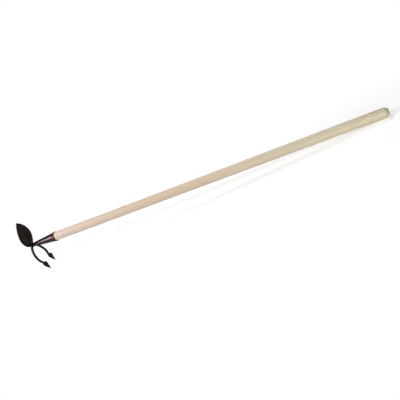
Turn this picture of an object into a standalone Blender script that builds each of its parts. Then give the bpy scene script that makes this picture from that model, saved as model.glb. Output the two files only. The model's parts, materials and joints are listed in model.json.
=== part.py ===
"""Long-handled hand cultivator: a leaf hoe blade on one side, a two-pointed fork on the other, a wooden handle.

The tool is drawn on its own axes: X runs from the blade along the handle to the grip, Y is sideways and
Z points to the blade's tip. An empty then lays the tool down on its two points and its grip end.
"""
import math

import bmesh
import bpy
from mathutils import Matrix, Vector

MM = 0.001

# Clearances
FIT_GAP = 0.3 * MM               # between any two pieces that touch on the real tool
WOOD_STOP = 27.5 * MM            # the wood ends this far short of the fork, inside the socket

# Handle, turned from one length of wood
HANDLE_LENGTH = 1200.0 * MM
HANDLE_DIAMETER = 30.0 * MM
SHOULDER_DEPTH = 2.2 * MM        # the wood is turned down this much, each side, where it enters the socket
WOOD_CHAMFER = 1.2 * MM          # on the end inside the socket
GRIP_FLAT_DIAMETER = 8.0 * MM    # flat left by the lathe on the rounded grip end

# Socket, a cone rolled from sheet
SOCKET_LENGTH = 102.0 * MM
SOCKET_WALL = 1.5 * MM
NOSE_DIAMETER = 11.8 * MM
LIP_LENGTH = 12.0 * MM           # the mouth flares over this length
SEAM_WIDTH = 1.4 * MM            # the rolled edges don't quite meet, along the underside

# Blade, pressed from sheet; heights are above the handle's axis
BLADE_HEIGHT = 97.0 * MM         # to where its sides would meet, just above the round tip
BLADE_TIP_RADIUS = 4.0 * MM
BLADE_HALF_WIDTH = 37.8 * MM
BLADE_WIDEST_AT = 40.5 * MM
BLADE_NECK_HALF_WIDTH = 9.6 * MM
BLADE_NECK_AT = 0.9 * MM         # the blade's foot runs from neck to neck and saddles the fork's crown
BLADE_THICKNESS = 2.0 * MM
BLADE_EDGE_THICKNESS = 0.7 * MM
GRIND_WIDTH = 3.5 * MM
GRIND_START = 8.5 * MM           # the edge is ground sharp above this height
GRIND_RUN = 8.5 * MM             # and is fully sharp this much further up
BLADE_CURL = 1.5 * MM            # the tip leans this far towards the user
BLADE_DISH = 0.3 * MM            # and so do the sides
FLAT_HALF_WIDTH = 12.0 * MM      # the middle of the blade stays flat for the weld

# How full the leaf's curves are, as shares of the span of each
HIP_FULLNESS = 0.17
SIDE_FULLNESS = 0.59
SHOULDER_FULLNESS = 0.33
CHEEK_WIDTH = 0.54
CHEEK_HEIGHT = 0.23

# Stiffening boss pressed into the blade: a hollow on the user's side, raised in front
BOSS_DEPTH = 3.4 * MM
BOSS_HALF_LENGTH = 21.0 * MM
BOSS_HALF_WIDTH = 14.8 * MM
BOSS_AT = 37.0 * MM
BOSS_CREST = 1.8                 # 1 is a sharp crest, 2 a round one

# Fork, one rod bent to an arch with two tines; depths are below the handle's axis
ROD_DIAMETER = 8.8 * MM
CROWN_THICKNESS = 4.2 * MM       # the top of the arch is pressed flat, in line with the blade above it
CROWN_WIDTH = 9.6 * MM
CROWN_BACK = 2.0 * MM            # it reaches this far into the socket's nose
CROWN_HALF_LENGTH = 6.5 * MM     # the rod is flat this far to each side
CROWN_RUN = 7.5 * MM             # and is round again this much further on
ARCH_DROP = 2.2 * MM             # depth of the rod's centre at the top of the arch
TINE_SPREAD = 30.5 * MM          # half the width of the fork at its widest
TINE_SPREAD_AT = 47.0 * MM
TINE_SPREAD_REACH = 8.8 * MM     # how far behind the blade's face the tines are there
POINT_SPREAD = 25.1 * MM         # half the distance between the tines where the points start
POINT_AT = 66.0 * MM
POINT_REACH = 14.0 * MM          # how far behind the blade's face the tines are there
TINE_SWEEP = 6.6 * MM            # lean that the tines take on as they widen
ARCH_FULLNESS = 0.51             # 0.55 makes the arch a half ellipse, more makes it squarer
TINE_END_FULLNESS = 0.32

# Points, forged arrowheads welded to the tines
POINT_LENGTH = 32.6 * MM
POINT_HALF_WIDTH = 13.3 * MM
POINT_THICKNESS = 4.8 * MM
POINT_SHANK = 1.6 * MM           # round stub above the barbs
BARB_RISE = 2.2 * MM             # height over which the stub spreads to the barbs
POINT_TIP_RADIUS = 0.4 * MM
POINT_CUP = 2.4 * MM             # the edges lean this far towards the user
POINT_SHARPNESS = 0.5            # 0 makes a point's section an ellipse, 1 a thin lens with sharp edges
POINT_BULGE = 1.2                # 1 makes the sides straight, more makes them bulge
POINT_LEAN = math.radians(18.4)  # lean of the points towards the user
POINT_TURN = math.radians(3.8)   # lean of the points towards each other

# Screw that holds the wood in the socket
SCREW_FROM_MOUTH = 26.0 * MM
SCREW_SHANK_DIAMETER = 4.0 * MM
SCREW_LENGTH = 18.0 * MM
SCREW_TAPER = 4.8 * MM
SCREW_TIP_RADIUS = 0.25 * MM
SCREW_HEAD_DIAMETER = 8.0 * MM
SCREW_HEAD_HEIGHT = 2.4 * MM
SCREW_RIM_HEIGHT = 0.6 * MM
SCREW_SLOT_WIDTH = 1.2 * MM
SCREW_SLOT_DEPTH = 1.0 * MM

# Weld beads
BLADE_BEAD_LEG = 2.5 * MM
BLADE_BEAD_SPAN = math.radians(132)
BLADE_BEAD_RIPPLES = 6
BLADE_BEAD_HOLLOW = 0.18         # how far the fillet's face is drawn in, as a share of its leg
FORK_BEAD_RADIUS = 1.5 * MM
FORK_BEAD_SPAN = math.radians(160)
FORK_BEAD_RIPPLES = 5
FOOT_BEAD_RADIUS = 1.7 * MM      # the bead in front, between the blade's foot and the crown
FOOT_BEAD_RIPPLES = 7
POINT_BEAD_RADIUS = 1.0 * MM
POINT_BEAD_RIPPLES = 7
BEAD_RIPPLE = 0.06               # share by which a bead swells and shrinks along its run
BEAD_END = 0.03                  # share of a bead's run in which its end is cut off blunt
BEAD_BLUNTNESS = 0.38            # 1 makes a spindle, less a sausage

# Roundness of the solids
HANDLE_SIDES = 48
SOCKET_SIDES = 48
ROD_SIDES = 16
POINT_SIDES = 20
SCREW_SIDES = 24
BEAD_SIDES = 12
BEAD_STEPS = 30

HANDLE_RADIUS = HANDLE_DIAMETER / 2
ROD_RADIUS = ROD_DIAMETER / 2
NOSE_RADIUS = NOSE_DIAMETER / 2
CROWN_X = CROWN_BACK - CROWN_THICKNESS / 2   # of the rod's centre at the top of the arch
NOSE_X = FIT_GAP
LIP_X = SOCKET_LENGTH - LIP_LENGTH
THROAT_RADIUS = HANDLE_RADIUS - SHOULDER_DEPTH + FIT_GAP + SOCKET_WALL
MOUTH_RADIUS = HANDLE_RADIUS + FIT_GAP + SOCKET_WALL
HANDLE_START = CROWN_BACK + WOOD_STOP
HANDLE_END = HANDLE_START + HANDLE_LENGTH
BOSS_CENTRE = Vector((0, BOSS_AT))

AXIS_X = Vector((1, 0, 0))
AXIS_Y = Vector((0, 1, 0))
AXIS_Z = Vector((0, 0, 1))


def material(name, colour, metallic, roughness):
    made = bpy.data.materials.new(name)
    made.use_nodes = True
    shader = made.node_tree.nodes["Principled BSDF"]
    shader.inputs["Base Color"].default_value = (*colour, 1)
    shader.inputs["Metallic"].default_value = metallic
    shader.inputs["Roughness"].default_value = roughness
    return made


def add_object(name, bm, parent):
    """Turns a finished bmesh into a named object that rides on the tool's empty."""
    bmesh.ops.recalc_face_normals(bm, faces=bm.faces)
    mesh = bpy.data.meshes.new(name)
    bm.to_mesh(mesh)
    bm.free()
    made = bpy.data.objects.new(name, mesh)
    bpy.context.collection.objects.link(made)
    made.parent = parent
    return made


def add_piece(name, bm, look, parent, sharp_angle=40):
    made = add_object(name, bm, parent)
    made.data.shade_smooth()
    made.data.set_sharp_from_angle(angle=math.radians(sharp_angle))
    made.data.materials.append(look)
    return made


def add_cutter(name, bm, parent):
    """A solid that only cuts others."""
    made = add_object(name, bm, parent)
    made.hide_render = True
    made.display_type = 'WIRE'
    return made


def cut(target, cutter):
    modifier = target.modifiers.new(f"cut by {cutter.name}", 'BOOLEAN')
    modifier.operation = 'DIFFERENCE'
    modifier.solver = 'EXACT'
    modifier.object = cutter


def bezier(a, b, c, d, t):
    s = 1 - t
    return a * s ** 3 + b * 3 * s * s * t + c * 3 * s * t * t + d * t ** 3


def mix(a, b, t):
    return a + (b - a) * t


def smooth_step(t):
    t = min(max(t, 0.0), 1.0)
    return t * t * (3 - 2 * t)


def circle(centre, across, up, radius, sides):
    angles = [2 * math.pi * k / sides for k in range(sides)]
    return [centre + radius * (across * math.cos(a) + up * math.sin(a)) for a in angles]


def loft(rings):
    """Skins a row of closed rings that have as many points each, and caps both ends."""
    bm = bmesh.new()
    rows = [[bm.verts.new(point) for point in ring] for ring in rings]
    for low, high in zip(rows, rows[1:]):
        for i in range(len(low)):
            j = (i + 1) % len(low)
            bm.faces.new((low[i], low[j], high[j], high[i]))
    bm.faces.new(rows[0])
    bm.faces.new(rows[-1])
    return bm


def turned(profile, axis, across, sides):
    """Turns a profile of (distance along the axis, radius) pairs."""
    up = axis.cross(across)
    return loft([circle(axis * along, across, up, radius, sides) for along, radius in profile])


def socket_outer(x):
    """The socket's outer radius: a straight cone, then a short flared lip."""
    if x <= LIP_X:
        return mix(NOSE_RADIUS, THROAT_RADIUS, (x - NOSE_X) / (LIP_X - NOSE_X))
    third = (THROAT_RADIUS - NOSE_RADIUS) / (LIP_X - NOSE_X) * LIP_LENGTH / 3
    t = (x - LIP_X) / LIP_LENGTH
    return bezier(THROAT_RADIUS, THROAT_RADIUS + third, MOUTH_RADIUS - third, MOUTH_RADIUS, t)


def wood_radius(x):
    """The wood fits the socket's bore as far as the mouth, and is straight from there on."""
    return socket_outer(min(x, SOCKET_LENGTH)) - SOCKET_WALL - FIT_GAP


def lip_stations():
    return [LIP_X + LIP_LENGTH * i / 6 for i in range(1, 7)]


def grip_depth():
    """Length of the rounded grip end, from where it starts to its small flat."""
    return math.sqrt(HANDLE_RADIUS ** 2 - (GRIP_FLAT_DIAMETER / 2) ** 2)


def make_handle(look, parent):
    """The turned handle: tapered end inside the socket, straight stem, round grip end."""
    first = HANDLE_START + WOOD_CHAMFER
    profile = [(HANDLE_START, wood_radius(first) - WOOD_CHAMFER)]
    profile += [(x, wood_radius(x)) for x in [mix(first, LIP_X, i / 4) for i in range(5)] + lip_stations()]
    equator = HANDLE_END - grip_depth()
    profile += [(mix(SOCKET_LENGTH, equator, i / 8), HANDLE_RADIUS) for i in range(1, 9)]
    flat_angle = math.acos(GRIP_FLAT_DIAMETER / 2 / HANDLE_RADIUS)
    for i in range(1, 10):
        a = flat_angle * i / 9
        profile.append((equator + HANDLE_RADIUS * math.sin(a), HANDLE_RADIUS * math.cos(a)))
    return add_piece("handle", turned(profile, AXIS_X, AXIS_Z, HANDLE_SIDES), look, parent)


def make_socket(look, parent):
    """The rolled cone: outer and inner skins that stop either side of the seam under the tool."""
    xs = [mix(NOSE_X, LIP_X, i / 6) for i in range(7)] + lip_stations()
    bm = bmesh.new()
    skins = []
    for wall in (0, SOCKET_WALL):
        rows = []
        for x in xs:
            radius = socket_outer(x) - wall
            half_gap = math.asin(SEAM_WIDTH / 2 / radius)
            row = []
            for i in range(SOCKET_SIDES + 1):
                a = mix(half_gap, 2 * math.pi - half_gap, i / SOCKET_SIDES) - math.pi / 2
                row.append(bm.verts.new((x, radius * math.cos(a), radius * math.sin(a))))
            rows.append(row)
        skins.append(rows)
    outer, inner = skins
    for s in range(len(xs) - 1):
        for i in range(SOCKET_SIDES):
            bm.faces.new((outer[s][i], outer[s][i + 1], outer[s + 1][i + 1], outer[s + 1][i]))
            bm.faces.new((inner[s][i], inner[s + 1][i], inner[s + 1][i + 1], inner[s][i + 1]))
        for i in (0, SOCKET_SIDES):
            bm.faces.new((outer[s][i], outer[s + 1][i], inner[s + 1][i], inner[s][i]))
    for s in (0, len(xs) - 1):
        for i in range(SOCKET_SIDES):
            bm.faces.new((outer[s][i], inner[s][i], inner[s][i + 1], outer[s][i + 1]))
    return add_piece("socket", bm, look, parent)


def notch_cutter(parent):
    """Clears the underside of the nose for the rod, with a round corner that fits it."""
    back = CROWN_THICKNESS / 2 + FIT_GAP
    top = CROWN_WIDTH / 2 + FIT_GAP
    profile = [(-NOSE_DIAMETER, -NOSE_DIAMETER), (-NOSE_DIAMETER, top - ARCH_DROP)]
    for i in range(9):
        a = math.pi / 2 * (1 - i / 8)
        profile.append((CROWN_X + back * math.cos(a), top * math.sin(a) - ARCH_DROP))
    profile.append((CROWN_X + back, -NOSE_DIAMETER))
    rings = [[Vector((x, y, z)) for x, z in profile] for y in (-NOSE_DIAMETER, NOSE_DIAMETER)]
    return add_cutter("nose_notch", loft(rings), parent)


def screw_frame():
    """Where the screw's head seats: on the cone's +Y side, with local Z square to its wall."""
    x = SOCKET_LENGTH - SCREW_FROM_MOUTH
    slope = math.atan2(socket_outer(x + MM) - socket_outer(x), MM)
    out = Vector((-math.sin(slope), math.cos(slope), 0))
    along = Vector((math.cos(slope), math.sin(slope), 0))
    placed = Matrix((along, -AXIS_Z, out)).transposed().to_4x4()
    placed.translation = Vector((x, socket_outer(x), 0))
    return placed


def make_screw(look, parent):
    """A slotted round-head wood screw whose head stands off the wall by the fit gap."""
    shank = SCREW_SHANK_DIAMETER / 2
    head = SCREW_HEAD_DIAMETER / 2
    bottom = FIT_GAP - SCREW_LENGTH
    rim = FIT_GAP + SCREW_RIM_HEIGHT
    profile = [(bottom, SCREW_TIP_RADIUS), (bottom + SCREW_TAPER, shank), (FIT_GAP, shank), (FIT_GAP, head)]
    for i in range(5):
        a = math.pi / 2 * i / 5
        dome = (SCREW_HEAD_HEIGHT - SCREW_RIM_HEIGHT) * math.sin(a)
        profile.append((rim + dome, head * math.cos(a)))
    made = add_piece("socket_screw", turned(profile, AXIS_Z, AXIS_X, SCREW_SIDES), look, parent)
    slot = bmesh.new()
    bmesh.ops.create_cube(slot, size=1)
    size = Vector((SCREW_HEAD_DIAMETER * 1.5, SCREW_SLOT_WIDTH, SCREW_SLOT_DEPTH * 2))
    bmesh.ops.scale(slot, vec=size, verts=slot.verts)
    bmesh.ops.translate(slot, vec=(0, 0, FIT_GAP + SCREW_HEAD_HEIGHT), verts=slot.verts)
    cutter = add_cutter("screw_slot", slot, parent)
    made.matrix_local = screw_frame()
    cutter.matrix_local = screw_frame()
    cut(made, cutter)
    return made


def screw_hole_cutter(parent):
    """The hole that the screw passes through, in the socket's wall and in the wood."""
    radius = SCREW_SHANK_DIAMETER / 2 + FIT_GAP
    profile = [(-SCREW_LENGTH, radius), (SCREW_HEAD_DIAMETER, radius)]
    cutter = add_cutter("screw_hole", turned(profile, AXIS_Z, AXIS_X, SCREW_SIDES), parent)
    cutter.matrix_local = screw_frame()
    return cutter


def blade_outline():
    """Right half of the leaf, from the middle of its foot up to its round tip, as (y, z) points."""
    neck = Vector((BLADE_NECK_HALF_WIDTH, BLADE_NECK_AT))
    widest = Vector((BLADE_HALF_WIDTH, BLADE_WIDEST_AT))
    tip = Vector((0, BLADE_HEIGHT))
    above = BLADE_HEIGHT - BLADE_WIDEST_AT
    points = saddle(FIT_GAP)
    hip = neck + Vector((BLADE_HALF_WIDTH - BLADE_NECK_HALF_WIDTH, 0)) * HIP_FULLNESS
    side = widest - Vector((0, BLADE_WIDEST_AT - BLADE_NECK_AT)) * SIDE_FULLNESS
    points += [bezier(neck, hip, side, widest, i / 12) for i in range(13)]
    shoulder = widest + Vector((0, above)) * SHOULDER_FULLNESS
    cheek = tip + Vector((BLADE_HALF_WIDTH * CHEEK_WIDTH, -above * CHEEK_HEIGHT))
    into_tip = (tip - cheek).normalized()
    centre = tip + Vector((0, BLADE_TIP_RADIUS / into_tip.x))
    turn = math.atan2(-into_tip.x, into_tip.y)
    flank = [bezier(widest, shoulder, cheek, tip, i / 14) for i in range(1, 14)]
    points += [p for p in flank if p.y < centre.y + BLADE_TIP_RADIUS * math.sin(turn)]
    for i in range(4):
        a = mix(turn, math.pi / 2, i / 3)
        points.append(centre + BLADE_TIP_RADIUS * Vector((math.cos(a), math.sin(a))))
    return points


def boss_radius(direction):
    """Distance from the boss's centre to its lens-shaped edge."""
    arc = (BOSS_HALF_WIDTH ** 2 + BOSS_HALF_LENGTH ** 2) / (2 * BOSS_HALF_WIDTH)
    offset = arc - BOSS_HALF_WIDTH
    return math.sqrt(arc ** 2 - (offset * direction.y) ** 2) - offset * abs(direction.x)


def blade_back(y, z):
    """X of the blade's face on the user's side, without the boss."""
    curl = BLADE_CURL * (max(z, 0) / BLADE_HEIGHT) ** 2
    beyond = max(abs(y) - FLAT_HALF_WIDTH, 0) / (BLADE_HALF_WIDTH - FLAT_HALF_WIDTH)
    return curl + BLADE_DISH * beyond ** 2


def blade_thickness(inset, z):
    """Full thickness, thinned where the rim has been ground sharp above the neck."""
    ground = smooth_step((z - GRIND_START) / GRIND_RUN)
    thin = mix(BLADE_THICKNESS, BLADE_EDGE_THICKNESS, ground)
    return mix(thin, BLADE_THICKNESS, min(inset / GRIND_WIDTH, 1))


def make_blade(look, parent):
    """A pressed leaf: rings run round the boss and then out to the rim, on both faces."""
    half = blade_outline()
    outline = half + [Vector((-p.x, p.y)) for p in reversed(half[1:-1])]
    boss_rings, plate_rings = 5, 5
    bm = bmesh.new()
    faces = []
    for front in (False, True):
        rows = []
        for ring in range(1, boss_rings + plate_rings + 2):
            row = []
            for point in outline:
                reach = point - BOSS_CENTRE
                direction, rim = reach.normalized(), reach.length
                edge = boss_radius(direction)
                if ring <= boss_rings:
                    distance = edge * ring / boss_rings
                elif ring <= boss_rings + plate_rings:
                    distance = mix(edge, rim - GRIND_WIDTH, (ring - boss_rings) / plate_rings)
                else:
                    distance = rim
                place = BOSS_CENTRE + direction * distance
                sunk = max(1 - (distance / edge) ** BOSS_CREST, 0) * BOSS_DEPTH
                x = blade_back(place.x, place.y) - sunk
                if front:
                    x -= blade_thickness(rim - distance, place.y)
                row.append(bm.verts.new((x, place.x, place.y)))
            rows.append(row)
        middle_x = blade_back(0, BOSS_AT) - BOSS_DEPTH
        if front:
            middle_x -= BLADE_THICKNESS
        faces.append((rows, bm.verts.new((middle_x, 0, BOSS_AT))))
    count = len(outline)
    for rows, middle in faces:
        for i in range(count):
            j = (i + 1) % count
            bm.faces.new((middle, rows[0][i], rows[0][j]))
            for inner, outer in zip(rows, rows[1:]):
                bm.faces.new((inner[i], inner[j], outer[j], outer[i]))
    back_rim, front_rim = faces[0][0][-1], faces[1][0][-1]
    for i in range(count):
        j = (i + 1) % count
        bm.faces.new((back_rim[i], back_rim[j], front_rim[j], front_rim[i]))
    return add_piece("blade", bm, look, parent, 30)


def point_axis(side):
    """Direction of a point, down and towards the user."""
    lean = Matrix.Rotation(-POINT_LEAN, 3, 'Y') @ -AXIS_Z
    return Matrix.Rotation(-side * POINT_TURN, 3, 'X') @ lean


def tine_line():
    """Centre line of the tine at +Y, from the top of the arch to the end of the rod."""
    top = Vector((CROWN_X, 0, -ARCH_DROP))
    widest = Vector((TINE_SPREAD_REACH, TINE_SPREAD, -TINE_SPREAD_AT))
    end = Vector((POINT_REACH, POINT_SPREAD, -POINT_AT))
    above = TINE_SPREAD_AT - ARCH_DROP
    below = POINT_AT - TINE_SPREAD_AT
    crown = top + AXIS_Y * TINE_SPREAD * ARCH_FULLNESS
    hip = widest + Vector((-TINE_SWEEP, 0, above * ARCH_FULLNESS))
    knee = widest + (widest - hip) * (below / above)
    ankle = end - point_axis(1) * below * TINE_END_FULLNESS
    first = [bezier(top, crown, hip, widest, i / 16) for i in range(17)]
    return first + [bezier(widest, knee, ankle, end, i / 10) for i in range(1, 11)]


def crown_share(y):
    """1 where the rod is pressed flat, 0 where it is round."""
    return 1 - smooth_step((abs(y) - CROWN_HALF_LENGTH) / CROWN_RUN)


def saddle(gap):
    """Right half of a line that runs over the rod's crown with a gap to it, up to the neck, as (y, z) points."""
    points = [Vector((0, CROWN_WIDTH / 2 - ARCH_DROP + gap))]
    line = tine_line()
    for before, here, after in zip(line, line[1:], line[2:]):
        up = Vector((before.z - after.z, after.y - before.y)).normalized()
        point = Vector((here.y, here.z)) + up * (mix(ROD_RADIUS, CROWN_WIDTH / 2, crown_share(here.y)) + gap)
        if point.x > BLADE_NECK_HALF_WIDTH - MM / 2:
            break
        points.append(point)
    return points


def fork_rod(gap, sides):
    """The bent rod, or with a gap the room that it needs: a tube that is an ellipse at its flat crown.

    Its ends are cut square to the points.
    """
    right = tine_line()
    line = [Vector((p.x, -p.y, p.z)) for p in reversed(right[1:])] + right
    ways = [(after - before).normalized() for before, after in zip(line, line[2:])]
    ways = [-point_axis(-1)] + ways + [point_axis(1)]
    rings = []
    normal = AXIS_X
    for centre, ahead in zip(line, ways):
        normal = (normal - ahead * normal.dot(ahead)).normalized()
        flat = crown_share(centre.y)
        thick = mix(ROD_RADIUS, CROWN_THICKNESS / 2, flat) + gap
        wide = mix(ROD_RADIUS, CROWN_WIDTH / 2, flat) + gap
        rings.append(circle(centre, normal * thick, ahead.cross(normal) * wide, 1, sides))
    return loft(rings)


def make_fork(look, parent):
    return add_piece("fork", fork_rod(0, ROD_SIDES), look, parent)


def point_frame(side):
    """Places a point: local Z runs back up the tine, local Y is the tool's sideways direction."""
    up = -point_axis(side)
    across = (AXIS_Y - up * up.y).normalized()
    end = tine_line()[-1]
    end.y *= side
    placed = Matrix((across.cross(up), across, up)).transposed().to_4x4()
    placed.translation = end - up * FIT_GAP
    return placed


def point_stations():
    """Depth, half width, half thickness and flatness of a point's sections, from its stub down.

    A flatness of 0 is the round stub and 1 is the flat arrowhead.
    """
    stations = [(0, ROD_RADIUS, ROD_RADIUS, 0)]
    for i in range(5):
        t = i / 4
        width = mix(ROD_RADIUS, POINT_HALF_WIDTH, math.sqrt(1 - (1 - t) ** 2))
        stations.append((POINT_SHANK + BARB_RISE * t, width, mix(ROD_RADIUS, POINT_THICKNESS / 2, t), t))
    barbs = POINT_SHANK + BARB_RISE
    for i in range(1, 8):
        t = i / 7
        width = mix(POINT_HALF_WIDTH, POINT_TIP_RADIUS, t ** POINT_BULGE)
        thick = mix(POINT_THICKNESS / 2, POINT_TIP_RADIUS, t ** 1.4)
        stations.append((mix(barbs, POINT_LENGTH, t), width, thick, 1 - t ** 4))
    return stations


def make_point(side, name, look, parent):
    """An arrowhead with a crest down its middle and a short round stub."""
    rings = []
    for depth, width, thick, flatness in point_stations():
        ring = []
        for i in range(POINT_SIDES):
            a = 2 * math.pi * i / POINT_SIDES
            power = 1 + POINT_SHARPNESS * flatness
            swell = math.copysign(abs(math.sin(a)) ** power, math.sin(a)) * thick
            cup = flatness * POINT_CUP * (math.cos(a) * width / POINT_HALF_WIDTH) ** 2
            ring.append(Vector((swell + cup, math.cos(a) * width, -depth)))
        rings.append(ring)
    made = add_piece(name, loft(rings), look, parent, 35)
    made.matrix_local = point_frame(side)
    return made


def bead_ripple(t, ripples):
    return 1 + BEAD_RIPPLE * math.sin(2 * math.pi * ripples * t)


def bead_size(t, ripples):
    """Share of its full size that an open bead has at t, from 0 to 1 along its run."""
    inside = min(max(t, BEAD_END), 1 - BEAD_END)
    return math.sin(math.pi * inside) ** BEAD_BLUNTNESS * bead_ripple(t, ripples)


def make_point_bead(side, name, look, parent):
    """A weld collar round the joint of rod and stub."""
    bm = bmesh.new()
    rows = []
    for i in range(BEAD_STEPS):
        t = i / BEAD_STEPS
        a = 2 * math.pi * t
        size = POINT_BEAD_RADIUS * bead_ripple(t, POINT_BEAD_RIPPLES)
        row = []
        for k in range(BEAD_SIDES):
            b = 2 * math.pi * k / BEAD_SIDES
            reach = ROD_RADIUS + FIT_GAP + size * (1 + math.cos(b)) / 2
            row.append(bm.verts.new((reach * math.cos(a), reach * math.sin(a), size * math.sin(b))))
        rows.append(row)
    for i in range(BEAD_STEPS):
        here, there = rows[i], rows[(i + 1) % BEAD_STEPS]
        for k in range(BEAD_SIDES):
            m = (k + 1) % BEAD_SIDES
            bm.faces.new((here[k], here[m], there[m], there[k]))
    made = add_piece(name, bm, look, parent)
    made.matrix_local = point_frame(side)
    return made


def make_blade_bead(look, parent):
    """A fillet weld over the nose, in the corner between the socket and the blade."""
    inner = NOSE_RADIUS + FIT_GAP
    rings = []
    for i in range(BEAD_STEPS + 1):
        t = i / BEAD_STEPS
        a = math.pi / 2 + BLADE_BEAD_SPAN * (t - 0.5)
        out = Vector((0, math.cos(a), math.sin(a)))
        leg = BLADE_BEAD_LEG * bead_size(t, BLADE_BEAD_RIPPLES)
        section = [(inner, 0.0)]
        for k in range(BEAD_SIDES):
            b = math.pi / 2 * k / (BEAD_SIDES - 1)
            size = leg * (1 - BLADE_BEAD_HOLLOW * math.sin(2 * b))
            section.append((inner + size * math.cos(b), size * math.sin(b)))
        ring = []
        for radius, rise in section:
            cone = socket_outer(NOSE_X + rise) - NOSE_RADIUS
            spot = out * (radius + cone)
            ring.append(Vector((blade_back(spot.y, spot.z) + FIT_GAP + rise, spot.y, spot.z)))
        rings.append(ring)
    return add_piece("blade_weld", loft(rings), look, parent)


def make_fork_bead(look, parent):
    """A bead under the nose, behind the rod, cut to fit both."""
    radius = socket_outer(CROWN_BACK) + FIT_GAP
    rings = []
    for i in range(BEAD_STEPS + 1):
        t = i / BEAD_STEPS
        a = -math.pi / 2 + FORK_BEAD_SPAN * (t - 0.5)
        out = Vector((0, math.cos(a), math.sin(a)))
        size = FORK_BEAD_RADIUS * bead_size(t, FORK_BEAD_RIPPLES)
        rings.append(circle(AXIS_X * CROWN_BACK + out * radius, out, AXIS_X, size, BEAD_SIDES))
    made = add_piece("fork_weld", loft(rings), look, parent)
    room = [(-NOSE_DIAMETER, NOSE_RADIUS + FIT_GAP), (NOSE_X, NOSE_RADIUS + FIT_GAP),
            (LIP_X, THROAT_RADIUS + FIT_GAP)]
    cut(made, add_cutter("nose_room", turned(room, AXIS_X, AXIS_Z, SOCKET_SIDES * 2), parent))
    cut(made, add_cutter("rod_room", fork_rod(FIT_GAP, ROD_SIDES * 2), parent))
    return made


def make_foot_bead(look, parent):
    """A bead in front, along the blade's foot, cut to fit the foot and the rod's crown."""
    right = saddle(0)
    line = [Vector((-p.x, p.y)) for p in reversed(right[1:])] + right
    pieces = len(line) - 1
    front = -BLADE_THICKNESS - FIT_GAP
    rings = []
    for i in range(BEAD_STEPS + 1):
        t = i / BEAD_STEPS
        k = min(int(t * pieces), pieces - 1)
        spot = mix(line[k], line[k + 1], t * pieces - k)
        size = FOOT_BEAD_RADIUS * bead_size(t, FOOT_BEAD_RIPPLES)
        rings.append(circle(Vector((front, spot.x, spot.y)), AXIS_X, AXIS_Z, size, BEAD_SIDES))
    made = add_piece("foot_weld", loft(rings), look, parent)
    behind = [(front, NOSE_DIAMETER), (NOSE_DIAMETER, NOSE_DIAMETER)]
    cut(made, add_cutter("foot_room", turned(behind, AXIS_X, AXIS_Z, SOCKET_SIDES), parent))
    cut(made, add_cutter("crown_room", fork_rod(FIT_GAP, ROD_SIDES * 2), parent))
    return made


def lie_down(tool):
    """Turns and moves the tool so that it stands on its points and its grip, centred over the origin."""
    tip = point_frame(1) @ Vector((0, 0, -POINT_LENGTH))
    ball = HANDLE_END - grip_depth()
    run, rise = ball - tip.x, -tip.z
    tilt = math.atan2(rise, run) - math.asin(HANDLE_RADIUS / math.hypot(run, rise))
    tool.rotation_euler = (0, tilt, 0)
    bpy.context.view_layer.update()
    corners = []
    graph = bpy.context.evaluated_depsgraph_get()
    for piece in bpy.context.scene.objects:
        if piece.type == 'MESH' and not piece.hide_render:
            done = piece.evaluated_get(graph)
            corners += [done.matrix_world @ v.co for v in done.data.vertices]
    low = [min(c[i] for c in corners) for i in range(3)]
    high = [max(c[i] for c in corners) for i in range(3)]
    tool.location = (-(low[0] + high[0]) / 2, -(low[1] + high[1]) / 2, -low[2])


def main():
    for old in list(bpy.data.objects):
        bpy.data.objects.remove(old, do_unlink=True)
    wood = material("pale turned wood", (0.62, 0.50, 0.36), 0.0, 0.5)
    steel = material("dark brown lacquer", (0.030, 0.022, 0.020), 0.0, 0.42)
    weld = material("lacquered weld", (0.045, 0.040, 0.042), 0.0, 0.5)
    zinc = material("zinc plated steel", (0.55, 0.55, 0.53), 1.0, 0.35)
    tool = bpy.data.objects.new("tool_axis", None)
    bpy.context.collection.objects.link(tool)
    handle = make_handle(wood, tool)
    socket = make_socket(steel, tool)
    make_screw(zinc, tool)
    screw_hole = screw_hole_cutter(tool)
    cut(handle, screw_hole)
    cut(socket, screw_hole)
    make_blade(steel, tool)
    make_fork(steel, tool)
    cut(socket, notch_cutter(tool))
    make_blade_bead(weld, tool)
    make_fork_bead(weld, tool)
    make_foot_bead(weld, tool)
    for side, word in ((-1, "left"), (1, "right")):
        make_point(side, f"point_{word}", steel, tool)
        make_point_bead(side, f"point_weld_{word}", weld, tool)
    lie_down(tool)


main()
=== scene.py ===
"""Long-handled hand cultivator for the garden: a leaf hoe blade and a two-pointed fork on a turned handle.

Shapes are drawn in millimetres on the tool's own axes: X runs from the blade along the handle to the grip,
Y is sideways and Z points to the blade's tip. The origin is on the blade's face, on the handle's axis.
"""
import json
import math

import bmesh
import bpy
from mathutils import Euler, Matrix, Vector, noise


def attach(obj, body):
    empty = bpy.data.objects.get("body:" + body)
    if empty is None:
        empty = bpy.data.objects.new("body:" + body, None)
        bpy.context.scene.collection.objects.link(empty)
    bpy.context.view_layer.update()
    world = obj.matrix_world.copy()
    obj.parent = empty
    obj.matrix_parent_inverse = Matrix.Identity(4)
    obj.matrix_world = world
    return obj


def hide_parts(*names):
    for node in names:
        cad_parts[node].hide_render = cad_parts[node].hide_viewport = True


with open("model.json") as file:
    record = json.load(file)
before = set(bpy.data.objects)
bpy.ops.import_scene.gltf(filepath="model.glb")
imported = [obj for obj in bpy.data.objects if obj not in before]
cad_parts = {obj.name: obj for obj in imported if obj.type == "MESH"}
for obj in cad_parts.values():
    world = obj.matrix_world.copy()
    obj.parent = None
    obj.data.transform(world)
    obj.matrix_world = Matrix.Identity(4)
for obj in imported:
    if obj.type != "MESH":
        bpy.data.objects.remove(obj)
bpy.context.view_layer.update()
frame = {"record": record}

MM = 0.001

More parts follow.
